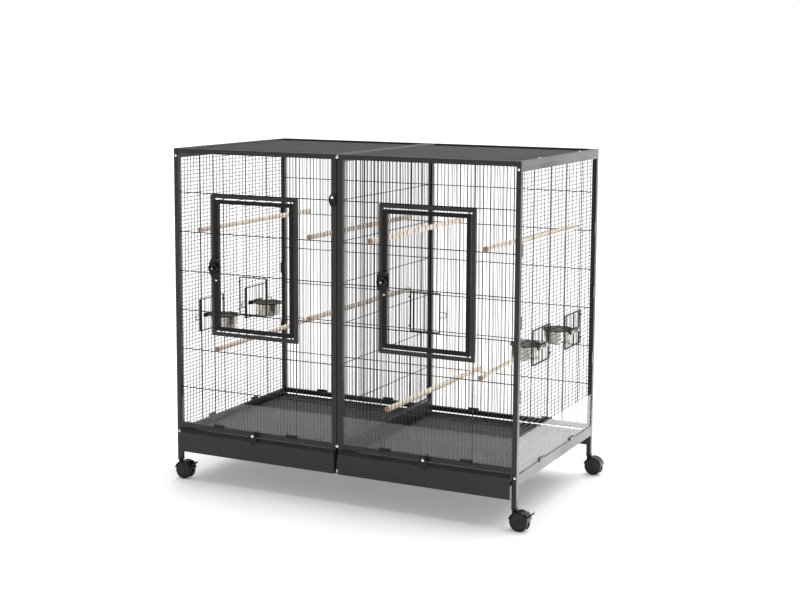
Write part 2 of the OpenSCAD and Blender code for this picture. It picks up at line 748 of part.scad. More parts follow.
// Clip on a bottom rail: a plate on the rail's face with a pad behind it that meets the guard
module guard_clip(base) {
    t = 2;
    translate([-clip_l / 2, -t, base - 4]) cube([clip_l, t, 10.5]);
    translate([-clip_l / 2, -t, base]) cube([clip_l, t + 1.5, 6.5]);
}

module panel_clips() {
    clip_x = 0.24 * bay_in * 2;
    heights = [0.215, 0.366, 0.567, 0.763] * cage_h;
    color(black) {
        for (side = [LEFT, RIGHT]) {
            for (x = [-clip_x, clip_x]) {
                translate([bay_x(side) + x, -half_d, 0]) guard_clip(front_base);
                translate([bay_x(side) + x, half_d, 0]) rotate(180) guard_clip(back_base);
                translate([side * half_w, x, 0]) rotate(side * 90) guard_clip(side_base);
            }
        }
        for (side = [0, 1], z = heights) mirror([side, 0, 0]) {
            for (back = [0, 1]) mirror([0, back, 0])
                if (z > front_base + guard_h)
                    translate([half_w - 5.4, -half_d + tube + seam, z - clip_l / 2]) cube([5.4, 6, clip_l]);
        }
    }
}

// Dowel from front to back, each end slotted over a wire and resting on a cross wire
module perch(side, near, far, k) {
    reach = half_d - 1;
    kerf = wire_d + 1;
    xn = wire_x(near);
    xf = wire_x(far);
    turn = atan2(xf - xn, 2 * wire_plane);
    length = 2 * reach / cos(turn);
    translate([bay_x(side) + (xn + xf) / 2, 0, cross_z(k) + cross_d / 2 + perch_d / 2 + fit])
        difference() {
            rotate([-90, 0, -turn]) cylinder(h = length, d = perch_d, center = true);
            for (end = [FRONT, BACK])
                translate([end * (xf - xn) / 2 - kerf / 2, end * (wire_plane + 3) - 6, -perch_d])
                    cube([kerf, 12, 2 * perch_d]);
            for (end = [FRONT, BACK])
                translate([-perch_d * 3, end * (reach + perch_d) - perch_d, -perch_d])
                    cube([6 * perch_d, 2 * perch_d, 2 * perch_d]);
        }
}

module perches(side, list) {
    color(wood) for (p = list) perch(side, p[0], p[1], p[2]);
}

// ---- Feeding doors, cup holders and cups ----

// Puts what is drawn for an opening that faces -Y into the side wall, front or back
module at_feeder(side, end) {
    translate([side * side_plane, end * feeder_y, feeder_mid_z]) rotate(side * 90) children();
}

module feeder_door(side, end) {
    color(paint) at_feeder(side, end) hatch_door(feeder_w, feeder_h, side);
}

// Ring inside the door, clamped through its wires by a bar outside with two screws
module cup_holder(side, end) {
    bar_w = 80;
    bar_h = 12;
    plate_w = 66;
    z = cup_rise - feeder_h / 2;
    outside = -hatch_set - wire_d / 2 - seam;
    inside = -hatch_set + rod_d / 2 + 0.5;
    color(black) at_feeder(side, end) translate([0, 0, z]) {
        translate([-bar_w / 2, outside - 4, -bar_h / 2]) cube([bar_w, 4, bar_h]);
        translate([-plate_w / 2, inside, -bar_h / 2]) cube([plate_w, 3, bar_h]);
        for (x = [-2, 2] * wire_pitch) {
            translate([x, outside - 1, 0]) rotate([-90, 0, 0]) cylinder(h = inside - outside + 2, d = 5);
        }
        translate([0, cup_set, 0]) rotate_extrude($fn = 96) translate([ring_r, 0]) circle(d = ring_wire);
        for (x = [-1, 1] * 20)
            translate([x - 2, inside + 1, -ring_wire / 2]) cube([4, 8, ring_wire]);
    }
}

// Spun steel cup whose rolled rim rests on the ring
module cup(side, end) {
    r = cup_d / 2;
    rim = ring_r + 0.6;
    top = cup_rise + ring_wire / 2 + 0.05;
    foot_r = cup_foot_d / 2;
    bend = 5;
    z0 = top - cup_h;
    w = cup_wall;
    color(steel) at_feeder(side, end) translate([0, cup_set, -feeder_h / 2])
        rotate_extrude($fn = 96)
            polygon(concat([[0, z0]], arc(foot_r - bend, z0 + bend, bend, -90, 0, 6),
                [[r, top - 1], [r, top], [rim - 0.8, top], [rim, top + 0.8], [rim - 0.4, top + 1.6],
                [r - w, top + 1.6], [r - w, top - 1]],
                arc(foot_r - bend, z0 + bend, bend - w, 0, -90, 6), [[0, z0 + w]]));
}

// ---- Casters ----

module at_corner(side, end) {
    translate([side * side_plane, end * wire_plane, 0]) children();
}

// Plug in the foot of each post with the collar below it, bored for the caster's stem
module caster_sockets() {
    plug = tube - 2 * tube_wall;
    depth = 40;
    color(black) for (side = [LEFT, RIGHT], end = [FRONT, BACK]) at_corner(side, end)
        difference() {
            union() {
                translate([-plug / 2, -plug / 2, post_foot - 1]) cube([plug, plug, depth]);
                translate([-tube / 2 - 1, -tube / 2 - 1, post_foot - collar_t])
                    cube([tube + 2, tube + 2, collar_t]);
            }
            translate([0, 0, post_foot - collar_t - 1]) cylinder(h = depth, d = stem_d + 2 * fit);
        }
}

// Web between the wheels, hood over them, boss and stem for the swivel
module caster_fork(side, end) {
    boss_d = 16;
    hood_r = wheel_r + hood_gap + hood_t;
    half_t = web_t / 2 + wheel_t + 1;
    top = post_foot - collar_t - 0.3;
    color(black) at_corner(side, end) {
        difference() {
            union() {
                cylinder(h = post_foot + 33, d = stem_d);
                translate([0, 0, wheel_r - 4]) cylinder(h = top - wheel_r + 4, d = boss_d);
                translate([caster_trail, 0, wheel_r]) rotate([90, 0, 0]) difference() {
                    cylinder(h = 2 * half_t, r = hood_r, center = true, $fn = 64);
                    for (z = [-1, 1])
                        translate([0, 0, z * (web_t + 2 * half_t) / 2])
                            cylinder(h = 2 * half_t, r = hood_r - hood_t, center = true, $fn = 64);
                }
            }
            translate([caster_trail, 0, wheel_r]) rotate([90, 0, 0])
                cylinder(h = 3 * half_t, d = axle_d + 2 * fit, center = true);
            translate([-2 * hood_r, -hood_r, -hood_r])
                cube([4 * hood_r + caster_trail, 2 * hood_r, hood_r + 8]);
            for (y = [-1, 1])
                translate([-2 * hood_r, y * (web_t / 2 + hood_r) - hood_r, -1])
                    cube([4 * hood_r + caster_trail, 2 * hood_r, wheel_r + 7]);
            translate([-boss_d, -boss_d, -1]) cube([2 * boss_d, 2 * boss_d, wheel_r - 3]);
            wheel_room();
        }
    }
}

// The room that the two wheels turn in
module wheel_room() {
    for (y = [-1, 1])
        translate([caster_trail, y * (web_t + wheel_t) / 2 + y * 0.3, wheel_r]) rotate([90, 0, 0])
            cylinder(h = wheel_t + 0.6, r = wheel_r + hood_gap, center = true, $fn = 64);
}

// Twin wheels on one axle
module caster_wheel(side, end) {
    rim_r = wheel_r - 4;
    gap = 0.5;
    color(black) at_corner(side, end) translate([caster_trail, 0, wheel_r]) rotate([90, 0, 0]) {
        cylinder(h = web_t + wheel_t, d = axle_d, center = true);
        for (s = [-1, 1]) mirror([0, 0, s < 0 ? 1 : 0]) translate([0, 0, web_t / 2 + gap])
            rotate_extrude($fn = 96) polygon([[0, 0], [wheel_r - 1, 0], [wheel_r, 1], [wheel_r, wheel_t - 3],
                [wheel_r - 2, wheel_t - 1], [rim_r, wheel_t - 1], [rim_r - 1, wheel_t - 2.5],
                [8, wheel_t - 2.5], [7, wheel_t - 1], [0, wheel_t - 1]]);
    }
}

// Pedal at the back of the hood; pressed down it bears on the wheels
module caster_brake(side, end) {
    hood_r = wheel_r + hood_gap + hood_t;
    half_t = web_t / 2 + wheel_t - 1;
    color(black) at_corner(side, end) translate([caster_trail, 0, wheel_r]) rotate([0, -38, 0])
        translate([hood_r + 0.4, 0, 0]) {
            translate([0, -half_t, -5]) cube([2.5, 2 * half_t, 16]);
            translate([2, -half_t + 4, -5]) cube([15, 2 * half_t - 8, 4.5]);
        }
}

// ---- Screws ----

// Heads on the corner posts, over the slot between the bays, and on the roof's side rails
module frame_screws() {
    color(steel) {
        for (side = [LEFT, RIGHT], z = [side_rail_z, side_top] + [1, 1] * tube / 2)
            translate([side * side_plane, -half_d, z]) rotate([90, 0, 0]) dome(9, 2.7);
        for (z = [fascia_z + 9, front_rail_z + tube / 2, top_rail + tube / 2])
            translate([0, -half_d, z]) rotate([90, 0, 0]) dome(slot_w + 4, 2.7);
        for (side = [LEFT, RIGHT], y = [-0.5, 0.5] * (half_d + tube))
            translate([side * side_plane, y, cage_h]) dome(8, 2.7);
    }
}

front_frame(LEFT);  // front_frame_left
front_frame(RIGHT);  // front_frame_right
front_grille(LEFT);  // front_grille_left
front_grille(RIGHT);  // front_grille_right
back_panel(LEFT);  // back_panel_left
back_panel(RIGHT);  // back_panel_right
side_panel(LEFT);  // side_panel_left
side_panel(RIGHT);  // side_panel_right
roof(LEFT);  // roof_left
roof(RIGHT);  // roof_right
divider();
divider_channels();
door(LEFT);  // door_left
door(RIGHT);  // door_right
small_door(LEFT);  // small_door_left
small_door(RIGHT);  // small_door_right
lock(LEFT);  // lock_left
lock(RIGHT);  // lock_right
knob(LEFT);  // knob_left
knob(RIGHT);  // knob_right
latch(divider_latch_x, divider_latch_y,  // divider_latch
    divider_latch_z, divider_latch_r);
latch(bay_x(LEFT), tray_latch_y, tray_latch_z);  // tray_latch_left
latch(bay_x(RIGHT), tray_latch_y, tray_latch_z);  // tray_latch_right
latch_screws();
tray(LEFT);  // tray_left
tray(RIGHT);  // tray_right
grate(LEFT);  // grate_left
grate(RIGHT);  // grate_right
tray_runners();
back_skirt();
front_guards();
side_guards();
back_guards();
panel_clips();
perches(LEFT, PERCHES_LEFT);  // perches_left
perches(RIGHT, PERCHES_RIGHT);  // perches_right
feeder_door(LEFT, FRONT);  // feeder_door_fl
feeder_door(LEFT, BACK);  // feeder_door_bl
feeder_door(RIGHT, FRONT);  // feeder_door_fr
feeder_door(RIGHT, BACK);  // feeder_door_br
cup_holder(LEFT, FRONT);  // cup_holder_fl
cup_holder(LEFT, BACK);  // cup_holder_bl
cup_holder(RIGHT, FRONT);  // cup_holder_fr
cup_holder(RIGHT, BACK);  // cup_holder_br
cup(LEFT, FRONT);  // cup_fl
cup(LEFT, BACK);  // cup_bl
cup(RIGHT, FRONT);  // cup_fr
cup(RIGHT, BACK);  // cup_br
caster_sockets();
caster_fork(LEFT, FRONT);  // caster_fork_fl
caster_fork(LEFT, BACK);  // caster_fork_bl
caster_fork(RIGHT, FRONT);  // caster_fork_fr
caster_fork(RIGHT, BACK);  // caster_fork_br
caster_wheel(LEFT, FRONT);  // caster_wheel_fl
caster_wheel(LEFT, BACK);  // caster_wheel_bl
caster_wheel(RIGHT, FRONT);  // caster_wheel_fr
caster_wheel(RIGHT, BACK);  // caster_wheel_br
caster_brake(LEFT, FRONT);  // caster_brake_fl
caster_brake(RIGHT, FRONT);  // caster_brake_fr
frame_screws();
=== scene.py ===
# %% [markdown]
# A double breeding cage on casters. The shapes come from the CAD model, which is loaded as a
# fixed frame. This script gives every piece its finish, adds the small pieces that are easier
# to model here, and sets up the floor, the lights and the camera.

# %% Load the frame
import math

import bmesh
import bpy
from mathutils import Matrix, Vector


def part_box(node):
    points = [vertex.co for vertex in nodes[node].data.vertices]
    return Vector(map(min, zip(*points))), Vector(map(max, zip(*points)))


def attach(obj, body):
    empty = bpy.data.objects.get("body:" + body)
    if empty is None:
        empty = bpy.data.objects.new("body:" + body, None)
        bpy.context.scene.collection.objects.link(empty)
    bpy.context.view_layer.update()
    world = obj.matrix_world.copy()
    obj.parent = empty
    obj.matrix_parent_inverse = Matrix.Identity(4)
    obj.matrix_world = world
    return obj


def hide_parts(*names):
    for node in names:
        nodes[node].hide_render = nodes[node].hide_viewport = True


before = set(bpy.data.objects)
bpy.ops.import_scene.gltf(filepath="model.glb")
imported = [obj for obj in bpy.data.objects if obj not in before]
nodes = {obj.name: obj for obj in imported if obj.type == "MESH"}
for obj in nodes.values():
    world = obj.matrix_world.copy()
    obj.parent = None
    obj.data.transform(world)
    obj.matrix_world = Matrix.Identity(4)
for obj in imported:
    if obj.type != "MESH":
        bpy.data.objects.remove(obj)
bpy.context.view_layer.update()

# %% [markdown]
# The camera stands in front of the cage, to its right and a little above it, and looks down by
# about seven degrees. Its place and turn were fitted to the corners of the cage in the
# photograph. A small vertical shift of the lens keeps the posts nearly upright, as they are there.

# %% Camera
FRAME_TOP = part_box("front_frame_left")[1][2]
CAMERA_PLACE = Vector((2.0908, -4.1158, FRAME_TOP + 0.2869))
CAMERA_YAW, CAMERA_PITCH, CAMERA_ROLL = 26.434, 7.153, 0.299
FOCAL_PIXELS = 1454.7
PICTURE_WIDTH = 800
AXIS_ABOVE_MIDDLE = 60
SENSOR_WIDTH = 36


def add_camera():
    yaw, pitch, roll = (math.radians(a) for a in (CAMERA_YAW, CAMERA_PITCH, CAMERA_ROLL))
    forward = Vector((-math.sin(yaw) * math.cos(pitch), math.cos(yaw) * math.cos(pitch),
                      -math.sin(pitch)))
    level = Vector((math.cos(yaw), math.sin(yaw), 0))
    above = level.cross(forward)
    right = level * math.cos(roll) + above * math.sin(roll)
    up = above * math.cos(roll) - level * math.sin(roll)
    bpy.ops.object.camera_add()
    camera = bpy.context.object
    camera.name = "camera"
    turn = Matrix((right, up, -forward)).transposed().to_4x4()
    camera.matrix_world = Matrix.Translation(CAMERA_PLACE) @ turn
    camera.data.sensor_width = SENSOR_WIDTH
    camera.data.lens = FOCAL_PIXELS / PICTURE_WIDTH * SENSOR_WIDTH
    camera.data.shift_y = -AXIS_ABOVE_MIDDLE / PICTURE_WIDTH
    bpy.context.scene.camera = camera
    return camera


camera = add_camera()
print("lens", round(camera.data.lens, 2), "mm, shift", camera.data.shift_y)

# %% [markdown]
# The photograph was lit the way shops like it: a white floor that runs on into a white
# background, one very large soft light overhead and a little behind, so that the shadow falls
# softly towards the viewer, and a lit wall behind on the right. The floor beside the cage is so
# bright there that the dark paint of the right side turns light grey by mirroring it, so a flat
# light lies on the floor. The front gets little light, which keeps the charcoal dark. A sun with
# a wide angle is the simplest large light, because it covers a floor of any size evenly. The air
# is plain white to the camera and dimmer to everything else.

# %% Floor and lights
FLOOR_SIZE, FLOOR_GLOW = 80, 0.25
WORLD_ORIGIN = (0, 0, 0)


def studio_white(glow):
    """White floor, lit a little from below as on a light table, so that no shadow turns black."""
    material = bpy.data.materials.new("studio_white")
    material.use_nodes = True
    shader = material.node_tree.nodes["Principled BSDF"]
    settings = {"Base Color": (0.95, 0.95, 0.95, 1), "Roughness": 0.9, "Specular IOR Level": 0.2,
                "Emission Color": (1, 1, 1, 1), "Emission Strength": glow}
    for socket, value in settings.items():
        shader.inputs[socket].default_value = value
    return material


def add_floor():
    bpy.ops.mesh.primitive_plane_add(size=FLOOR_SIZE, location=WORLD_ORIGIN)
    floor = bpy.context.object
    floor.name = "studio_floor"
    floor.data.materials.append(studio_white(FLOOR_GLOW))


def aim(light, place, target):
    light.location = place
    sight = Vector(target) - Vector(place)
    light.rotation_euler = sight.to_track_quat("-Z", "Y").to_euler()


def add_panel(name, place, target, size, power):
    bpy.ops.object.light_add(type="AREA")
    light = bpy.context.object
    light.name = name
    light.data.shape = "RECTANGLE"
    light.data.size, light.data.size_y = size
    light.data.energy = power
    light.visible_camera = False
    aim(light, place, target)


def add_overhead(place, strength, spread):
    bpy.ops.object.light_add(type="SUN")
    light = bpy.context.object
    light.name = "light_overhead"
    light.data.energy = strength
    light.data.angle = math.radians(spread)
    aim(light, place, WORLD_ORIGIN)


def add_air(seen, front, back):
    """White to the camera. What lights the cage is dim in front and brighter behind."""
    world = bpy.data.worlds.new("studio_air")
    world.use_nodes = True
    tree = world.node_tree
    background = tree.nodes["Background"]
    background.inputs["Color"].default_value = (1, 1, 1, 1)
    direction = tree.nodes.new("ShaderNodeTexCoord")
    parts = tree.nodes.new("ShaderNodeSeparateXYZ")
    felt = tree.nodes.new("ShaderNodeMapRange")
    level = tree.nodes.new("ShaderNodeMapRange")
    path = tree.nodes.new("ShaderNodeLightPath")
    for socket, value in zip(felt.inputs[1:5], (-0.4, 0.6, front, back)):
        socket.default_value = value
    level.inputs["To Max"].default_value = seen
    tree.links.new(direction.outputs["Generated"], parts.inputs[0])
    tree.links.new(parts.outputs["Y"], felt.inputs[0])
    tree.links.new(felt.outputs[0], level.inputs["To Min"])
    tree.links.new(path.outputs["Is Camera Ray"], level.inputs[0])
    tree.links.new(level.outputs[0], background.inputs["Strength"])
    bpy.context.scene.world = world


add_floor()
add_overhead(place=(0.3, 1.6, 3.6), strength=2.9, spread=75)
add_panel("light_wall", place=(2.3, 4.4, 0.85), target=(0.6, 0, 0.6), size=(3.4, 1.5), power=27)
add_panel("light_table", place=(1.07, 0.75, 0.003), target=(1.07, 0.75, 1), size=(0.86, 2.5),
          power=21)
add_air(seen=1.0, front=0.32, back=0.45)
bpy.context.scene.view_settings.view_transform = "Standard"
print("floor, three lights and the air")

# %% [markdown]
# A material is a small graph of nodes. To keep the graphs readable, a socket is wrapped in a
# class whose operators add the Math nodes, and every other node comes from one method.

# %% Material helpers


class Value:
    """A number that changes over the surface: a socket with arithmetic."""

    def __init__(self, tree, socket):
        self.tree, self.socket = tree, socket

    def math(self, operation, *others):
        node = self.tree.nodes.new("ShaderNodeMath")
        node.operation = operation
        for slot, value in zip(node.inputs, others):
            if isinstance(value, Value):
                self.tree.links.new(value.socket, slot)
            else:
                slot.default_value = value
        return Value(self.tree, node.outputs[0])

    def __add__(self, other):
        return self.math("ADD", self, other)

    def __mul__(self, other):
        return self.math("MULTIPLY", self, other)

    __radd__, __rmul__ = __add__, __mul__

    def above(self, limit):
        return self.math("GREATER_THAN", self, limit)

    def size(self):
        return self.math("ABSOLUTE", self)


class Finish:
    """A material under construction, with its Principled shader."""

    def __init__(self, name, **fixed):
        self.material = bpy.data.materials.new(name)
        self.material.use_nodes = True
        self.tree = self.material.node_tree
        self.shader = self.tree.nodes["Principled BSDF"]
        for socket, value in fixed.items():
            self.shader.inputs[socket.replace("_", " ")].default_value = value

    def add(self, kind, settings=None, **values):
        node = self.tree.nodes.new("ShaderNode" + kind)
        for key, value in (settings or {}).items():
            setattr(node, key, value)
        for key, value in values.items():
            self.feed(node.inputs[key.replace("_", " ")], value)
        return node

    def feed(self, socket, value):
        if isinstance(value, Value):
            value = value.socket
        if isinstance(value, bpy.types.NodeSocket):
            self.tree.links.new(value, socket)
        else:
            socket.default_value = value

    def place(self, centre=(0, 0, 0), scale=(1, 1, 1)):
        """Object coordinates from a centre, drawn out along each axis by a scale."""
        coordinates = self.add("TexCoord")
        mapping = self.add("Mapping", {"vector_type": "TEXTURE"}, Location=centre, Scale=scale,
                           Vector=coordinates.outputs["Object"])
        return mapping.outputs[0]

    def noise(self, vector, scale, detail=3.0, roughness=0.5):
        node = self.add("TexNoise", Vector=vector, Scale=scale, Detail=detail, Roughness=roughness)
        return Value(self.tree, node.outputs["Fac"])

    def spread(self, value, low, high, to_low=0.0, to_high=1.0):
        """Spreads the values from low to high over the range to_low to to_high."""
        node = self.add("MapRange", Value=value, From_Min=low, From_Max=high,
                        To_Min=to_low, To_Max=to_high)
        return Value(self.tree, node.outputs[0])

    def mix(self, factor, first, second):
        node = self.tree.nodes.new("ShaderNodeMix")
        node.data_type = "RGBA"
        self.feed(node.inputs[0], factor)
        for socket, colour in ((node.inputs[6], first), (node.inputs[7], second)):
            self.feed(socket, (*colour, 1) if isinstance(colour, tuple) else colour)
        return node.outputs[2]

    def feed_surface(self, colour=None, roughness=None, height=None, bump=0.2, depth=0.001):
        """Feeds the shader's varying inputs."""
        if colour is not None:
            self.feed(self.shader.inputs["Base Color"], colour)
        if roughness is not None:
            self.feed(self.shader.inputs["Roughness"], roughness)
        if height is not None:
            node = self.add("Bump", Height=height, Strength=bump, Distance=depth)
            self.feed(self.shader.inputs["Normal"], node.outputs[0])
        return self.material


# %% [markdown]
# Tubes, sheets and wires are powder coated in charcoal. The coat is a melted powder, so it has a
# faint orange peel and a satin sheen that is a little uneven from patch to patch. The tray
# fronts, the doors and the roof are painted with the same coat, but each takes the light a little
# differently, so each is a copy of the same recipe with painted light in its colour: painted
# light makes the roof much lighter and the tray fronts a little lighter, and painted shade makes
# the doors darker. That is why the recipe is a function.

# %% Powder coat


def powder_coat(name, dark, light, sheen, gloss=0.35):
    finish = Finish(name, Specular_IOR_Level=gloss)
    patch = finish.noise(finish.place(), scale=9, detail=2)
    peel = finish.noise(finish.place(), scale=700, detail=2)
    colour = finish.mix(finish.spread(patch, 0.35, 0.65), dark, light)
    roughness = finish.spread(patch, 0.3, 0.7, sheen - 0.05, sheen + 0.07)
    return finish.feed_surface(colour, roughness, height=peel, bump=0.25, depth=0.0004)


charcoal = powder_coat("charcoal_powder_coat", (0.017, 0.017, 0.016), (0.023, 0.023, 0.022), 0.40)
# Painted light: the tray fronts are the same charcoal, painted a little lighter.
tray_painted_light_coat = powder_coat("tray_painted_light_charcoal", (0.020, 0.0195, 0.019), (0.026, 0.025, 0.024), 0.44)
# Painted shade: the doors are the same charcoal, painted darker, and they mirror less.
door_painted_shade_coat = powder_coat("door_painted_shade_charcoal", (0.007, 0.007, 0.007), (0.010, 0.010, 0.0095), 0.46,
                        gloss=0.2)
# Painted light: the roof is the same charcoal, painted far lighter for the light from overhead.
roof_painted_light_coat = powder_coat("roof_painted_light_charcoal", (0.100, 0.100, 0.097), (0.122, 0.122, 0.118), 0.50)

# %% [markdown]
# Locks, latches, clips and casters are moulded in black plastic. The mould's surface is finely
# etched, so the plastic is dull, with small bright spots only where it faces a light.

# %% Black plastic


def moulded_plastic(name, colour, roughness):
    finish = Finish(name, Specular_IOR_Level=0.3)
    grain = finish.noise(finish.place(), scale=1400, detail=2)
    rub = finish.noise(finish.place(), scale=45, detail=4)
    rubbed = tuple(c * 1.5 for c in colour)
    mixed = finish.mix(finish.spread(rub, 0.35, 0.75), colour, rubbed)
    sheen = finish.spread(rub, 0.3, 0.7, roughness + 0.06, roughness - 0.06)
    return finish.feed_surface(mixed, sheen, height=grain, bump=0.3, depth=0.0003)


black_plastic = moulded_plastic("black_plastic", (0.003, 0.003, 0.003), 0.38)
wheel_plastic = moulded_plastic("wheel_plastic", (0.014, 0.014, 0.014), 0.50)

# %% [markdown]
# The seed guards are thin clear sheet, dulled a little by seed and claws. Each of the sheet's
# two faces lets most of the light straight through and mirrors the rest: a few per cent square
# on, and more at the slant at which the right side is seen. Optics gives that share roughly as
# a fifth power of the slant. The Fresnel node would be exact, but it takes the sheet's far face
# for the inside of a block of glass and closes it. The share drives the alpha of a mirror-like
# skin. Its strength at a full slant is set lower than optics asks, because the lit wall behind
# would otherwise whiten the sheet and hide the wires.

# %% Clear sheet


def scuffed_sheet(name, haze, square_on, aslant):
    finish = Finish(name, Base_Color=(0.92, 0.93, 0.93, 1), Metallic=1.0)
    scuff = finish.noise(finish.place(scale=(1, 1, 3)), scale=90, detail=4, roughness=0.55)
    slant = Value(finish.tree, finish.add("LayerWeight", Blend=0.5).outputs["Facing"])
    mirrored = slant.math("POWER", slant, 5) * aslant + square_on
    dulled = finish.spread(scuff, 0.3, 0.7, haze * 0.6, haze * 1.4)
    finish.feed(finish.shader.inputs["Alpha"], mirrored + dulled)
    return finish.feed_surface(roughness=finish.spread(scuff, 0.3, 0.7, 0.16, 0.28))


clear_sheet = scuffed_sheet("scuffed_clear_sheet", haze=0.006, square_on=0.03, aslant=0.2)

# %% [markdown]
# Screws are bright plated, the cups are spun stainless steel with rings from the spinning
# tool, and the grates and channels are plated wire and strip, duller and slightly blotchy.

# %% Metals


def plated_steel(name, colour, low, high, scale):
    finish = Finish(name, Metallic=1.0)
    blotch = finish.noise(finish.place(), scale, detail=3)
    light = tuple(min(1, c * 1.15) for c in colour)
    return finish.feed_surface(finish.mix(finish.spread(blotch, 0.35, 0.65), colour, light),
                       finish.spread(blotch, 0.3, 0.7, low, high))


def spun_steel(name, centre):
    finish = Finish(name, Metallic=1.0, Base_Color=(0.50, 0.48, 0.43, 1))
    place = finish.place(centre)
    rings = finish.add("TexWave", {"wave_type": "RINGS", "rings_direction": "Z"}, Vector=place,
                       Scale=180, Distortion=0.6, Detail=1)
    height = Value(finish.tree, rings.outputs["Fac"])
    smear = finish.noise(finish.place(centre, scale=(1, 1, 0.15)), scale=60, detail=3)
    return finish.feed_surface(roughness=finish.spread(smear, 0.3, 0.7, 0.16, 0.30), height=height,
                       bump=0.12, depth=0.0003)


bright_steel = plated_steel("bright_plated_steel", (0.72, 0.72, 0.73), 0.14, 0.26, 300)
galvanised = plated_steel("plated_wire", (0.16, 0.16, 0.16), 0.30, 0.45, 120)

# %% [markdown]
# Perches are turned softwood dowels that run from front to back. The grain is long streaks
# along the dowel, so the noise is stretched along Y. The ends that grip the wires are darker, and
# since all perches are equally long, the distance from the middle of the cage finds them.

# %% Wood
PERCH_END = 0.3275


def dowel_wood(name, reach):
    finish = Finish(name)
    streak = finish.noise(finish.place(scale=(1, 14, 1)), scale=260, detail=4, roughness=0.6)
    board = finish.noise(finish.place(scale=(1, 5, 1)), scale=30, detail=2)
    body = finish.mix(finish.spread(streak, 0.3, 0.7), (0.84, 0.68, 0.54), (0.97, 0.85, 0.74))
    body = finish.mix(finish.spread(board, 0.4, 0.7) * 0.5, body, (0.98, 0.89, 0.80))
    along = finish.add("SeparateXYZ", Vector=finish.place())
    end = Value(finish.tree, along.outputs["Y"]).size().above(reach)
    colour = finish.mix(end * 0.85, body, (0.26, 0.16, 0.09))
    return finish.feed_surface(colour, finish.spread(streak, 0.3, 0.7, 0.55, 0.7), height=streak,
                       bump=0.35, depth=0.0005)


turned_wood = dowel_wood("turned_softwood", PERCH_END)

# %% [markdown]
# Each CAD node now gets its finish. The names of the nodes say what they are made of, so the
# first rule that fits a name decides.

# %% Finishes of the CAD nodes
CUP_SPREAD = Vector((0.5321, 0.137))
FINISH_RULES = (
    ("guards", clear_sheet), ("grate", galvanised), ("channels", galvanised),
    ("screws", bright_steel), ("perches", turned_wood), ("latch", black_plastic),
    ("lock", black_plastic), ("knob", black_plastic), ("clips", black_plastic),
    ("holder", black_plastic), ("wheel", wheel_plastic), ("caster", black_plastic),
    ("tray_left", tray_painted_light_coat), ("tray_right", tray_painted_light_coat), ("roof", roof_painted_light_coat), ("door_", door_painted_shade_coat),
)


def finish_for(name):
    """A cup's rings run round its own axis, so each cup has its own steel. The rest share."""
    if name.startswith("cup_") and "holder" not in name:
        end, side = name[-2:]
        x = CUP_SPREAD.x if side == "r" else -CUP_SPREAD.x
        y = CUP_SPREAD.y if end == "b" else -CUP_SPREAD.y
        return spun_steel("spun_" + name, (x, y, 0))
    return next((material for word, material in FINISH_RULES if word in name), charcoal)


def set_finish(piece, material):
    if not piece.material_slots:
        piece.data.materials.append(material)
    for slot in piece.material_slots:
        slot.material = material


for name, piece in nodes.items():
    set_finish(piece, finish_for(name))
print(len(nodes), "nodes finished")

# %% [markdown]
# The small bright fittings are modelled here, on the CAD's own places. Each starts as a disc
# that is drawn up in edit mode, ring by ring, as a lathe would cut it. What repeats is modelled
# once as a pattern on the Z axis, foot down, and every copy gets its own mesh, which is turned
# and moved while its object stays at the origin.

# %% Modelling helpers
OUT_FRONT, OUT_LEFT, OUT_RIGHT, UP = (Vector(v) for v in (
    (0, -1, 0), (-1, 0, 0), (1, 0, 0), (0, 0, 1)))
MM = 0.001
ARM_HALF_WIDTH = 0.24  # of a cross recess, as a share of its reach


def deselect():
    if bpy.context.object and bpy.context.object.mode != "OBJECT":
        bpy.ops.object.mode_set(mode="OBJECT")
    bpy.ops.object.select_all(action="DESELECT")


def pick(piece, test):
    """In edit mode, selects the faces whose middle and normal pass a test."""
    bpy.ops.object.mode_set(mode="EDIT")
    bpy.ops.mesh.select_mode(type="FACE")
    bpy.ops.mesh.select_all(action="DESELECT")
    shape = bmesh.from_edit_mesh(piece.data)
    for face in shape.faces:
        face.select_set(test(face.calc_center_median(), face.normal))
    bmesh.update_edit_mesh(piece.data)


def turned(name, sides, rings):
    """A turned piece on the Z axis, drawn up through rings of height and radius in mm."""
    deselect()
    height, radius = rings[0]
    bpy.ops.mesh.primitive_circle_add(vertices=sides, radius=radius * MM, fill_type="NGON",
                                      location=WORLD_ORIGIN)
    piece = bpy.context.object
    piece.name = name
    bpy.ops.object.mode_set(mode="EDIT")
    bpy.ops.mesh.select_all(action="SELECT")
    bpy.ops.transform.translate(value=(0, 0, height * MM))
    for next_height, next_radius in rings[1:]:
        rise = (0, 0, (next_height - height) * MM)
        bpy.ops.mesh.extrude_region_move(TRANSFORM_OT_translate={"value": rise})
        grow = next_radius / radius
        bpy.ops.transform.resize(value=(grow, grow, 1), center_override=WORLD_ORIGIN)
        height, radius = next_height, next_radius
    bpy.ops.mesh.select_all(action="SELECT")
    bpy.ops.mesh.normals_make_consistent(inside=False)
    bpy.ops.object.mode_set(mode="OBJECT")
    return piece


def soften(piece, angle=35):
    """Smooth shading, except over edges sharper than the angle."""
    deselect()
    piece.select_set(True)
    bpy.context.view_layer.objects.active = piece
    bpy.ops.object.shade_smooth_by_angle(angle=math.radians(angle))


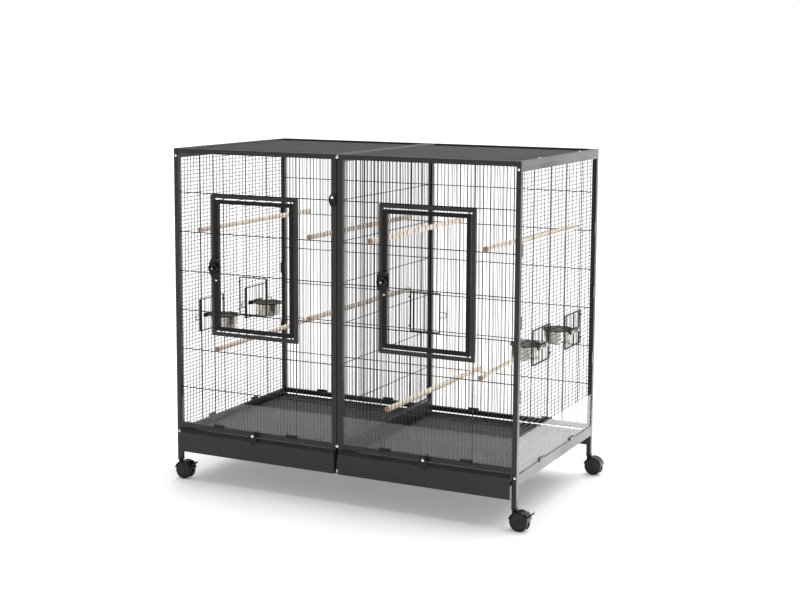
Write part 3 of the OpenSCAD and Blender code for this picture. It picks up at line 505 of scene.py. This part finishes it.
def cut_cross(piece, top, reach, deep):
    """A cross recess in the top of a head: a cube drawn out to four sides and cut away."""
    deselect()
    half = reach * ARM_HALF_WIDTH
    bpy.ops.mesh.primitive_cube_add(size=2 * half * MM, location=WORLD_ORIGIN)
    cross = bpy.context.object
    pick(cross, lambda middle, normal: abs(normal.z) < 0.5)
    arm = (reach - half) * MM
    bpy.ops.mesh.extrude_faces_move(TRANSFORM_OT_shrink_fatten={"value": arm})
    bpy.ops.mesh.select_all(action="SELECT")
    bpy.ops.transform.translate(value=(0, 0, (top + half - deep) * MM))
    deselect()
    piece.select_set(True)
    bpy.context.view_layer.objects.active = piece
    recess = piece.modifiers.new("recess", "BOOLEAN")
    recess.operation, recess.solver, recess.object = "DIFFERENCE", "EXACT", cross
    bpy.ops.object.modifier_apply(modifier=recess.name)
    bpy.data.objects.remove(cross)


def stand(foot, outward, spin=0.0, size=1.0):
    """Where a pattern goes: its foot on a point, its axis outward, spun about its axis."""
    turn = outward.to_track_quat("Z", "Y").to_matrix().to_4x4()
    return Matrix.Translation(foot) @ turn @ Matrix.Rotation(spin, 4, "Z") @ Matrix.Scale(size, 4)


def copied(pattern, name, places, body, material):
    """Copies of a pattern at some places, joined into one piece that rides on a body."""
    deselect()
    for place in places:
        copy = pattern.copy()
        copy.data = pattern.data.copy()
        copy.data.transform(place)
        bpy.context.collection.objects.link(copy)
        copy.select_set(True)
        bpy.context.view_layer.objects.active = copy
    if len(places) > 1:
        bpy.ops.object.join()
    piece = bpy.context.object
    piece.name = name
    set_finish(piece, material)
    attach(piece, body)
    print(name, len(places), "x", len(pattern.data.polygons), "faces")
    return piece


def solids_of(name):
    """The box of each separate solid in a CAD node, measured on a copy that is taken apart."""
    deselect()
    copy = nodes[name].copy()
    copy.data = nodes[name].data.copy()
    bpy.context.collection.objects.link(copy)
    copy.select_set(True)
    bpy.context.view_layer.objects.active = copy
    bpy.ops.object.mode_set(mode="EDIT")
    bpy.ops.mesh.select_all(action="SELECT")
    bpy.ops.mesh.remove_doubles(threshold=1e-6)
    bpy.ops.mesh.separate(type="LOOSE")
    bpy.ops.object.mode_set(mode="OBJECT")
    boxes = []
    for solid in list(bpy.context.selected_objects):
        corners = [vertex.co for vertex in solid.data.vertices]
        boxes.append((Vector(map(min, zip(*corners))), Vector(map(max, zip(*corners)))))
        bpy.data.objects.remove(solid)
    return sorted(boxes, key=lambda box: tuple(box[0]))


# %% [markdown]
# The frame is bolted together with plated screws. Their domed heads with a cross recess are
# what catches the light on the corner posts, on the slot between the bays and on the roof. The
# CAD model has plain domes there, so its boxes give the place and the width, and a head with its
# recess stands for each.

# %% Frame screws
HEAD_WIDTH = 10 * MM
head = turned("head", 28, [(0, 4.7), (0.5, 5.0), (1.3, 4.8), (2.1, 4.0), (2.7, 2.8), (2.9, 1.6)])
cut_cross(head, top=2.9, reach=2.5, deep=1.3)
soften(head)
places = []
for number, (low, high) in enumerate(solids_of("frame_screws")):
    middle, across = (low + high) / 2, high - low
    on_roof = across.z < across.y
    foot = (middle.x, middle.y, low.z) if on_roof else (middle.x, high.y, middle.z)
    outward = UP if on_roof else OUT_FRONT
    places.append(stand(Vector(foot), outward, spin=number * 0.8, size=across.x / HEAD_WIDTH))
screws = copied(head, "cross_head_screws", places, "frame", bright_steel)
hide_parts("frame_screws")

# %% [markdown]
# Each hanging latch turns on a shouldered screw: a sleeve that stands off the rail, a thinner
# shank through the latch, and a head that keeps it on. The sleeve's length is read from the
# boxes, because the tray latches hang further out than the latch of the divider.

# %% Latch screws
shanks = []
for low, high in solids_of("latch_screws"):
    latch = "divider_latch" if high.x < 0 and low.z > 0.5 else "tray_latch_left"
    latch_front, latch_back = (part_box(latch)[end][1] for end in (0, 1))
    back, front = (high.y - latch_back) / MM, (high.y - latch_front) / MM
    steps = [(0, 3.9), (max(back - 0.1, 0.05), 3.9)] if back > 1 else [(0, 2.4)]
    steps += [(steps[-1][0] + 0.02, 2.4), (front + 0.1, 2.4), (front + 0.12, 4.9),
              (front + 0.6, 5.2), (front + 1.6, 4.9), (front + 2.4, 3.9), (front + 2.8, 2.2)]
    shank = turned("shank", 28, steps)
    cut_cross(shank, top=front + 2.8, reach=2.3, deep=1.2)
    soften(shank)
    foot = Vector(((low.x + high.x) / 2, high.y, (low.z + high.z) / 2))
    shank.data.transform(stand(foot, OUT_FRONT, spin=0.5))
    shanks.append(shank)
deselect()
for shank in shanks:
    shank.select_set(True)
bpy.ops.object.join()
screws = bpy.context.object
screws.name = "shouldered_screws"
set_finish(screws, bright_steel)
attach(screws, "frame")
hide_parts("latch_screws")
print(screws.name, len(shanks))

# %% [markdown]
# A feeding cup's ring is clamped to the wires of its small door between a plate inside and a bar
# outside. Two plated bolts hold them: a low round head shows inside the cage, and a nut with the
# bolt's end shows outside. The nut is a six-sided turned piece with its corners taken off, and no
# two bolts were tightened to the same turn, so each is spun a little differently.

# %% Clamp bolts
nut = turned("nut", 6, [(0, 3.6), (0.3, 4.0), (2.9, 4.0), (3.2, 3.5)])
end = turned("end", 20, [(3.15, 2.1), (4.6, 2.1), (5.1, 1.5)])
deselect()
end.select_set(True)
nut.select_set(True)
bpy.context.view_layer.objects.active = nut
bpy.ops.object.join()
soften(nut, 25)
low_head = turned("low_head", 24, [(0, 2.9), (0.6, 3.2), (1.5, 2.8), (2.1, 1.6)])
cut_cross(low_head, top=2.1, reach=1.6, deep=0.7)
soften(low_head)
BOLT_SPREAD = 0.024  # of a bolt from the middle of its holder
PLATE_INSIDE = 0.5793  # the plate's inner face, from the middle of the cage
for corner in ("fl", "bl", "fr", "br"):
    low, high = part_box("cup_holder_" + corner)
    middle = (Vector(low) + Vector(high)) / 2
    side = 1 if middle.x > 0 else -1
    outward = OUT_RIGHT if side > 0 else OUT_LEFT
    outer = max(abs(low[0]), abs(high[0]))
    ends = [middle.y - BOLT_SPREAD, middle.y + BOLT_SPREAD]
    body = "feeder_door_" + corner
    outside = [stand(Vector((side * outer, y, middle.z)), outward, spin=y * 9) for y in ends]
    inside = [stand(Vector((side * PLATE_INSIDE, y, middle.z)), -outward, spin=y * 7) for y in ends]
    copied(nut, "clamp_nuts_" + corner, outside, body, bright_steel)
    copied(low_head, "clamp_heads_" + corner, inside, body, bright_steel)

# %% [markdown]
# The lock of each front door is held by a rivet just below its plate, and the knob by a small
# pin in its hub. Both are plated and make the two bright points that the eye finds first.

# %% Lock rivets and knob pins
rivet = turned("rivet", 24, [(0, 3.4), (0.6, 3.8), (1.5, 3.5), (2.2, 2.5), (2.5, 1.0)])
soften(rivet, 50)
pin = turned("pin", 20, [(0, 2.4), (0.8, 2.6), (1.4, 2.2), (1.7, 1.0)])
soften(pin, 50)
for side in ("left", "right"):
    lock_low, lock_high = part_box("lock_" + side)
    knob_low, knob_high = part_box("knob_" + side)
    knob_x = (knob_low[0] + knob_high[0]) / 2
    foot = Vector((knob_x + 0.0015, lock_high[1], lock_low[2] - 0.0075))
    copied(rivet, "lock_rivet_" + side, [stand(foot, OUT_FRONT)], "door_" + side,
           bright_steel)
    foot = Vector((knob_x, knob_low[1], knob_high[2] - (knob_high[0] - knob_low[0]) / 2))
    copied(pin, "knob_pin_" + side, [stand(foot, OUT_FRONT)], "knob_" + side,
           bright_steel)
for pattern in (head, nut, low_head, rivet, pin):
    bpy.data.objects.remove(pattern)
